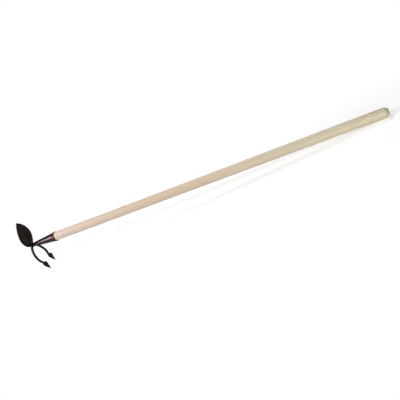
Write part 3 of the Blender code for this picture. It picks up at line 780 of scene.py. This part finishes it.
def bead_ripple(t, run, skew):
    """Slow swells along a bead with fine crescents over them.

    A skew bends each crescent back at the bead's sides.
    """
    swell = BEAD_SWELL * math.sin(2 * math.pi * BEAD_SWELLS * t)
    crescents = max(round(run / BEAD_RIPPLE_SPACING), 1)
    phase = (crescents * t + skew) % 1
    return 1 + swell + BEAD_RIPPLE_DEPTH * (math.sqrt(phase) - BEAD_RIPPLE_MIDDLE)


def bead_size(t):
    """Share of its full size that an open bead has at t, from 0 to 1 along its run."""
    inside = min(max(t, BEAD_END), 1 - BEAD_END)
    return math.sin(math.pi * inside) ** BEAD_BLUNTNESS


def bead_section(centre, up, radius, t, run):
    """A round section of an open bead that runs square to up and to the handle's axis."""
    ring = []
    for k in range(BEAD_SIDES):
        b = 2 * math.pi * k / BEAD_SIDES
        size = radius * bead_size(t) * bead_ripple(t, run, RIPPLE_BEND * abs(math.cos(b)))
        ring.append(centre + size * (up * math.cos(b) + AXIS_X * math.sin(b)))
    return ring


def make_point_bead(side, word, finish):
    """A weld collar round the joint of rod and stub."""
    run = 2 * math.pi * (ROD_RADIUS + POINT_BEAD_RADIUS)
    rings = []
    for i in range(BEAD_STEPS):
        t = i / BEAD_STEPS
        out = Vector((math.cos(2 * math.pi * t), math.sin(2 * math.pi * t), 0))
        ring = []
        for k in range(COLLAR_SIDES):
            b = 2 * math.pi * k / COLLAR_SIDES
            size = POINT_BEAD_RADIUS * bead_ripple(t, run, RIPPLE_BEND * (1 - math.cos(b)))
            radius = ROD_RADIUS + FIT_GAP + size * (1 + math.cos(b)) / 2
            ring.append(out * radius + AXIS_Z * size * math.sin(b))
        rings.append(ring)
    bm = skin(rings, closed=True)
    bm.transform(point_frame(side))
    finished(f"weld_collar_{word}", bm, finish, f"point_weld_{word}", sharp=60)


def make_blade_bead(finish):
    """A fillet weld over the nose, in the corner between the socket and the blade."""
    inner = NOSE_RADIUS + FIT_GAP
    run = math.radians(BLADE_BEAD_SPAN) * (inner + BLADE_BEAD_LEG / 2)
    rings = []
    for i in range(FILLET_STEPS + 1):
        t = i / FILLET_STEPS
        a = math.pi / 2 + math.radians(BLADE_BEAD_SPAN) * (t - 0.5)
        out = Vector((0, math.cos(a), math.sin(a)))
        section = [(inner, 0.0)]
        for k in range(FILLET_SIDES):
            b = math.pi / 2 * k / (FILLET_SIDES - 1)
            ripple = bead_ripple(t, run, FILLET_RIPPLE_BEND * abs(math.cos(2 * b)))
            size = BLADE_BEAD_LEG * bead_size(t) * ripple * (1 - BLADE_BEAD_HOLLOW * math.sin(2 * b))
            section.append((inner + size * math.cos(b), size * math.sin(b)))
        ring = []
        for radius, rise in section:
            spot = out * (radius + socket_outer(NOSE_X + rise) - NOSE_RADIUS)
            ring.append(Vector((blade_back(spot.y, spot.z) + FIT_GAP + rise, spot.y, spot.z)))
        rings.append(ring)
    finished("blade_fillet_weld", skin(rings), finish, "blade_weld", sharp=60)


def make_fork_bead(finish):
    """A bead under the nose, behind the rod, cut to fit both."""
    radius = socket_outer(CROWN_BACK) + FIT_GAP
    run = math.radians(FORK_BEAD_SPAN) * radius
    rings = []
    for i in range(BEAD_STEPS + 1):
        t = i / BEAD_STEPS
        a = -math.pi / 2 + math.radians(FORK_BEAD_SPAN) * (t - 0.5)
        out = Vector((0, math.cos(a), math.sin(a)))
        rings.append(bead_section(AXIS_X * CROWN_BACK + out * radius, out, FORK_BEAD_RADIUS, t, run))
    far = NOSE_RADIUS * 2
    cone = ((-far, NOSE_RADIUS), (NOSE_X, NOSE_RADIUS), (LIP_X, THROAT_RADIUS))
    room = [(x, outer + FIT_GAP) for x, outer in cone]
    nose_room = new_object("nose_room", turned(room, AXIS_X, AXIS_Z, CONE_ROOM_SIDES))
    rod_room = new_object("rod_room", fork_rod(FIT_GAP, ROOM_SIDES))
    cutters = [nose_room, rod_room]
    finished("fork_weld_bead", skin(rings), finish, "fork_weld", cutters, sharp=60)
    discard(*cutters)


def make_foot_bead(finish):
    """A bead in front, along the blade's foot, cut to fit the foot and the rod's crown."""
    right = saddle(0)
    line = [Vector((-p.x, p.y)) for p in reversed(right[1:])] + right
    pieces = len(line) - 1
    run = 2 * right[-1].x
    front = -BLADE_THICKNESS - FIT_GAP
    rings = []
    for i in range(BEAD_STEPS + 1):
        t = i / BEAD_STEPS
        k = min(int(t * pieces), pieces - 1)
        spot = mix(line[k], line[k + 1], t * pieces - k)
        rings.append(bead_section(Vector((front, spot.x, spot.y)), AXIS_Z, FOOT_BEAD_RADIUS, t, run))
    far = NOSE_RADIUS * 2
    foot_room = new_object("foot_room", turned([(front, far), (far, far)], AXIS_X, AXIS_Z, ROOM_SIDES))
    crown_room = new_object("crown_room", fork_rod(FIT_GAP, ROOM_SIDES))
    cutters = [foot_room, crown_room]
    finished("foot_weld_bead", skin(rings), finish, "foot_weld", cutters, sharp=60)
    discard(*cutters)


def linear(colour):
    """Turns an sRGB hex colour into the linear values that shaders use."""
    channels = [int(colour[i:i + 2], 16) / 255 for i in (1, 3, 5)]
    return [c / 12.92 if c <= 0.04045 else ((c + 0.055) / 1.055) ** 2.4 for c in channels] + [1.0]


def add_node(tree, kind, inputs=(), **settings):
    """Adds a shader node, sets its properties, and fills its inputs with values or other nodes' outputs."""
    made = tree.nodes.new("ShaderNode" + kind)
    for name, value in settings.items():
        setattr(made, name, value)
    for name, value in dict(inputs).items():
        if isinstance(value, bpy.types.NodeSocket):
            tree.links.new(value, made.inputs[name])
        else:
            made.inputs[name].default_value = value
    return made


# Sockets of a colour Mix node, which have no names of their own
FIRST, SECOND, RESULT = 6, 7, 2


def blend(tree, share, first, second):
    """Mixes two colours, each given as a hex colour or as another node's output."""
    first, second = (linear(c) if isinstance(c, str) else c for c in (first, second))
    mixed = add_node(tree, "Mix", {0: share, FIRST: first, SECOND: second}, data_type='RGBA')
    return mixed.outputs[RESULT]


def times(tree, a, b):
    return add_node(tree, "Math", {0: a, 1: b}, operation='MULTIPLY').outputs[0]


def times_plus(tree, a, b, c):
    return add_node(tree, "Math", {0: a, 1: b, 2: c}, operation='MULTIPLY_ADD').outputs[0]


def remap(tree, value, source=(0.0, 1.0), target=(0.0, 1.0), kind='LINEAR'):
    """Carries values in the source range over to the target range, and holds those outside at its ends."""
    ranges = {"From Min": source[0], "From Max": source[1], "To Min": target[0], "To Max": target[1]}
    return add_node(tree, "MapRange", {"Value": value, **ranges}, interpolation_type=kind).outputs["Result"]


def scaled(tree, place, factors):
    return add_node(tree, "VectorMath", {0: place, 1: factors}, operation='MULTIPLY').outputs["Vector"]


def in_units(tree, place, sizes):
    """Places counted in units of a pattern's sizes along, across and down the tool."""
    return scaled(tree, place, tuple(1 / size for size in sizes))


def distance_from_zero(tree, place):
    return add_node(tree, "VectorMath", {0: place}, operation='LENGTH').outputs["Value"]


def mottle(tree, place, size=1.0, detail=2.0, roughness=0.5):
    """Soft blotches of about that size, from 0 to 1."""
    blotches = {"Vector": place, "Scale": 1 / size, "Detail": detail, "Roughness": roughness}
    return add_node(tree, "TexNoise", blotches).outputs["Fac"]


def spots(tree, place, fade, spacing=1.0):
    """1 inside scattered spots and 0 between them; they fade between two shares of the spacing."""
    cells = add_node(tree, "TexVoronoi", {"Vector": place, "Scale": 1 / spacing})
    return remap(tree, cells.outputs["Distance"], fade, (1.0, 0.0))


def bumps(tree, height, strength, depth):
    bump = add_node(tree, "Bump", {"Height": height, "Strength": strength, "Distance": depth * MM})
    return bump.outputs["Normal"]


def new_finish(name):
    """An empty material, with its node tree and a vector of places on the tool in millimetres."""
    made = bpy.data.materials.new(name)
    made.use_nodes = True
    tree = made.node_tree
    tree.nodes.clear()
    back = TOOL.inverted()
    place = add_node(tree, "Mapping", {"Vector": add_node(tree, "TexCoord").outputs["Object"],
                                       "Location": back.translation / MM, "Rotation": back.to_euler(),
                                       "Scale": [1 / MM] * 3})
    return made, tree, place.outputs["Vector"]


def surface(tree, **inputs):
    named = {name.replace("_", " "): value for name, value in inputs.items()}
    shader = add_node(tree, "BsdfPrincipled", named)
    add_node(tree, "OutputMaterial", {"Surface": shader.outputs["BSDF"]})


def varnished_beech():
    """Beech, turned, fine sanded and thinly varnished.

    It is pale and even: rosy by the head, tan in the middle and creamy by the grip. It has faint growth
    rings, hair-fine fibres, short brown ray flecks along the handle, one small knot, and darker end grain.
    """
    made, tree, mm = new_finish("varnished beech")
    x = add_node(tree, "SeparateXYZ", {0: mm}).outputs["X"]

    # Growth rings round the pith, with a dark line of late wood in each
    wander = mottle(tree, in_units(tree, mm, RING_WANDER_SIZE))
    off_pith = add_node(tree, "VectorMath", {0: mm, 1: PITH_OFFSET}, operation='ADD').outputs["Vector"]
    from_pith = distance_from_zero(tree, scaled(tree, off_pith, (GRAIN_LEAN, 1.0, 1.0)))
    rings = times(tree, times_plus(tree, wander, RING_WANDER, from_pith), 1 / RING_WIDTH)
    ring = add_node(tree, "Math", {0: rings}, operation='FRACT').outputs[0]
    late_wood = add_node(tree, "Math", {0: ring, 1: LATE_WOOD_SHARPNESS}, operation='POWER').outputs[0]

    # Hair-fine fibres, flecks about 3 mm long and 0.4 mm wide, and broad clouds of darker wood
    fibre = mottle(tree, in_units(tree, mm, FIBRE_SIZE), detail=4.0, roughness=0.6)
    fleck = spots(tree, in_units(tree, mm, FLECK_SPACING), fade=FLECK_FADE)
    cloud = mottle(tree, in_units(tree, mm, CLOUD_SIZE), detail=3.0)

    # The knot, an oval on top of the handle with an edge that the fibres make ragged
    knot_place = (KNOT_AT, 0.0, HANDLE_RADIUS)
    knot_size = (KNOT_HALF_LENGTH, KNOT_HALF_WIDTH, KNOT_HALF_WIDTH)
    off_knot = add_node(tree, "VectorMath", {0: mm, 1: knot_place}, operation='SUBTRACT').outputs["Vector"]
    knot_share = distance_from_zero(tree, in_units(tree, off_knot, knot_size))
    ragged = times_plus(tree, fibre, KNOT_RAGGEDNESS, knot_share)
    knot = remap(tree, ragged, KNOT_FADE, (KNOT_DARKNESS, 0.0), kind='SMOOTHSTEP')

    # End grain shows where the surface faces along the handle
    normal = add_node(tree, "TexCoord").outputs["Normal"]
    facing = add_node(tree, "SeparateXYZ", {0: normal}).outputs["X"]
    end_grain = remap(tree, facing, END_GRAIN_FACING)

    colour = blend(tree, remap(tree, x, (ROSY_WOOD_END, TAN_WOOD[0])), "#E3CFC3", "#E1CEB4")
    colour = blend(tree, remap(tree, x, (TAN_WOOD[1], CREAMY_WOOD_START)), colour, "#D5CEB3")
    tones = ((late_wood, "#C9A985", 0.20), (cloud, "#D2B894", 0.22), (fibre, "#C7A67E", 0.20),
             (fleck, "#8F6746", 0.40), (end_grain, "#B89A6C", 0.60), (knot, "#5A3B24", 1.0))
    for share, tone, strength in tones:
        colour = blend(tree, times(tree, share, strength), colour, tone)

    dull = remap(tree, fibre, target=(0.44, 0.58))
    normal = bumps(tree, times_plus(tree, fleck, -FLECK_SINK, fibre), strength=0.5, depth=0.05)
    surface(tree, Base_Color=colour, Roughness=dull, IOR=1.5, Coat_Weight=0.12, Coat_Roughness=0.35,
            Normal=normal)
    return made


def baked_film(tree, mm, roughness, dimple, dimple_depth):
    """A film that was dipped and baked: broad duller patches, fine dimples, and a few specks.

    Gives the patches' share, the roughness and the normal.
    """
    patches = mottle(tree, mm, PATCH_SIZE, detail=3.0)
    dull = remap(tree, patches, PATCH_RANGE, roughness)
    speck = spots(tree, mm, SPECK_FADE, SPECK_SPACING)
    height = times_plus(tree, speck, SPECK_RISE, mottle(tree, mm, dimple))
    return patches, dull, bumps(tree, height, strength=0.6, depth=dimple_depth)


def brown_enamel(name, body, thin, roughness, gloss, tint, dimple, dimple_depth):
    """Dark brown stoving enamel over steel: nearly black, with a rosy sheen.

    It is thin and lighter where the worn value marks an edge.
    """
    made, tree, mm = new_finish(name)
    patches, dull, normal = baked_film(tree, mm, roughness, dimple, dimple_depth)
    edge = add_node(tree, "Attribute", attribute_name="worn").outputs["Fac"]
    colour = blend(tree, patches, *body)
    colour = blend(tree, times(tree, edge, patches), colour, thin)
    surface(tree, Base_Color=colour, Roughness=dull, IOR=1.5, Specular_IOR_Level=gloss,
            Specular_Tint=linear(tint), Normal=normal)
    return made


def brown_lacquer(name, roughness, sheen):
    """Clear brown lacquer over smooth steel, which shines through it: a dark metal with a rosy sheen.

    Seen at a slant the film is deeper, so the flanks stay dark. The steel's colour is painted darker
    towards the nose, a painted shade that dims the sheen there. A lower sheen is for drawn steel, which is
    rougher than sheet under the film.
    """
    made, tree, mm = new_finish(name)
    patches, dull, normal = baked_film(tree, mm, roughness, LACQUER_DIMPLE, LACQUER_DIMPLE_DEPTH)
    x = add_node(tree, "SeparateXYZ", {0: mm}).outputs["X"]
    # Painted shade: the steel's colour is darker towards the socket's nose, which dims its sheen there
    steel = blend(tree, remap(tree, x, NOSE_SHADE_FADE), "#372D2E", "#463939")
    colour = blend(tree, remap(tree, patches, target=(0.0, 0.3)), steel, "#2E2423")
    surface(tree, Base_Color=colour, Metallic=sheen, Roughness=dull, Specular_IOR_Level=0.0,
            Specular_Tint=linear("#A0A0A0"), Normal=normal)
    return made


def zinc_plate():
    """Steel, cold headed and zinc plated: bright grey, faintly bluish in places, with fine scuffs."""
    made, tree, mm = new_finish("zinc plated steel")
    scuffs = mottle(tree, mm, size=0.35, detail=4.0)
    colour = blend(tree, mottle(tree, mm, size=2.5), "#C9C8C2", "#B7BCC2")
    surface(tree, Base_Color=colour, Metallic=1.0, Roughness=remap(tree, scuffs, target=(0.2, 0.42)),
            Normal=bumps(tree, scuffs, strength=0.4, depth=0.01))
    return made


def seen_ray(tree):
    """1 for rays that look at the background: from the camera, in a reflection or through glass."""
    rays = add_node(tree, "LightPath").outputs
    seen = rays["Is Camera Ray"]
    for other in ("Is Glossy Ray", "Is Transmission Ray"):
        seen = add_node(tree, "Math", {0: seen, 1: rays[other]}, operation='MAXIMUM').outputs[0]
    return seen


def make_floor():
    """White paper floor that keeps the tool's shadow in an oval, and fades to plain white outside it."""
    bm = bmesh.new()
    bmesh.ops.create_grid(bm, x_segments=2, y_segments=2, size=FLOOR_SIZE / 2)
    mesh = bpy.data.meshes.new("paper_floor")
    bm.to_mesh(mesh)
    bm.free()
    floor = bpy.data.objects.new("paper_floor", mesh)
    bpy.context.collection.objects.link(floor)
    paper, tree, _ = new_finish("white paper")
    seen = seen_ray(tree)
    near = add_node(tree, "BsdfPrincipled", {"Base Color": linear("#EDEDED"), "Roughness": 0.9,
                                             "Specular IOR Level": 0.0, "Emission Color": linear("#FFFFFF"),
                                             "Emission Strength": times(tree, seen, FLOOR_LIFT)})
    place = add_node(tree, "TexCoord").outputs["Object"]
    away = distance_from_zero(tree, scaled(tree, place, (1 / SHADOW_REACH[0], 1 / SHADOW_REACH[1], 0.0)))
    share = times(tree, remap(tree, away, (1.0, 2.0), kind='SMOOTHSTEP'), seen)
    white = add_node(tree, "Emission", {"Color": linear("#FFFFFF"), "Strength": 1.0})
    mixed = add_node(tree, "MixShader", {0: share, 1: near.outputs["BSDF"], 2: white.outputs["Emission"]})
    add_node(tree, "OutputMaterial", {"Surface": mixed.outputs["Shader"]})
    mesh.materials.append(paper)


def make_world():
    """Even white room light; where it is looked at it is plain white."""
    world = bpy.data.worlds.new("white room")
    world.use_nodes = True
    tree = world.node_tree
    tree.nodes.clear()
    level = remap(tree, seen_ray(tree), target=(ROOM_LIGHT, 1.0))
    back = add_node(tree, "Background", {"Color": linear("#FFFFFF"), "Strength": level})
    add_node(tree, "OutputWorld", {"Surface": back.outputs["Background"]})
    bpy.context.scene.world = world


def soft_box(name, place, target, size, power, spread):
    """A flat studio lamp at place that faces target, both in metres on the ground's axes.

    A spread below 180 degrees puts a grid on the lamp, which keeps its light off what is beside the target.
    """
    lamp = bpy.data.lights.new(name, 'AREA')
    lamp.shape = 'RECTANGLE'
    lamp.size, lamp.size_y = size
    lamp.energy = power
    lamp.spread = math.radians(spread)
    holder = bpy.data.objects.new(name, lamp)
    bpy.context.collection.objects.link(holder)
    holder.location = place
    holder.visible_camera = False
    holder.rotation_euler = (Vector(target) - Vector(place)).to_track_quat('-Z', 'Y').to_euler()


def make_camera():
    data = bpy.data.cameras.new("camera")
    data.sensor_width = SENSOR_WIDTH
    data.lens = CAMERA_LENS
    data.shift_x = PICTURE_SHIFT[0] / PICTURE_WIDTH
    data.shift_y = PICTURE_SHIFT[1] / PICTURE_WIDTH
    camera = bpy.data.objects.new("camera", data)
    bpy.context.collection.objects.link(camera)
    turn = Euler([math.radians(angle) for angle in CAMERA_TURN]).to_matrix().to_4x4()
    camera.matrix_world = TOOL @ Matrix.Translation(CAMERA_PLACE * MM) @ turn
    bpy.context.scene.camera = camera


def main():
    make_camera()
    make_floor()
    make_world()
    for name, box in SOFT_BOXES.items():
        soft_box(name, *box)
    bpy.context.scene.view_settings.view_transform = 'Standard'

    wood = varnished_beech()
    pressed = brown_enamel("brown enamel on pressed sheet", body=("#1C1614", "#231B18"), thin="#332825",
                           roughness=(0.52, 0.6), gloss=0.06, tint="#FFCFC4", dimple=1.8, dimple_depth=0.01)
    rolled = brown_lacquer("brown lacquer on rolled sheet", roughness=(0.2, 0.26), sheen=0.75)
    drawn = brown_lacquer("brown lacquer on drawn rod", roughness=(0.3, 0.38), sheen=0.6)
    forged = brown_enamel("brown enamel on forged steel", body=("#272221", "#2E2927"), thin="#453D3A",
                          roughness=(0.46, 0.56), gloss=0.05, tint="#FFC9CD", dimple=1.2, dimple_depth=0.02)
    weld = brown_enamel("brown enamel on weld metal", body=("#1F1919", "#2B2526"), thin="#4A4040",
                        roughness=(0.4, 0.54), gloss=0.12, tint="#FFC9CD", dimple=0.8, dimple_depth=0.02)
    zinc = zinc_plate()

    hole, notch = screw_hole_cutter(), notch_cutter()
    make_handle(wood, [hole])
    make_socket(rolled, [hole, notch])
    make_screw(zinc)
    discard(hole, notch)
    make_blade(pressed)
    make_fork(drawn)
    make_blade_bead(weld)
    make_fork_bead(weld)
    make_foot_bead(weld)
    for side, word in ((-1, "left"), (1, "right")):
        make_point(side, word, forged)
        make_point_bead(side, word, weld)


main()
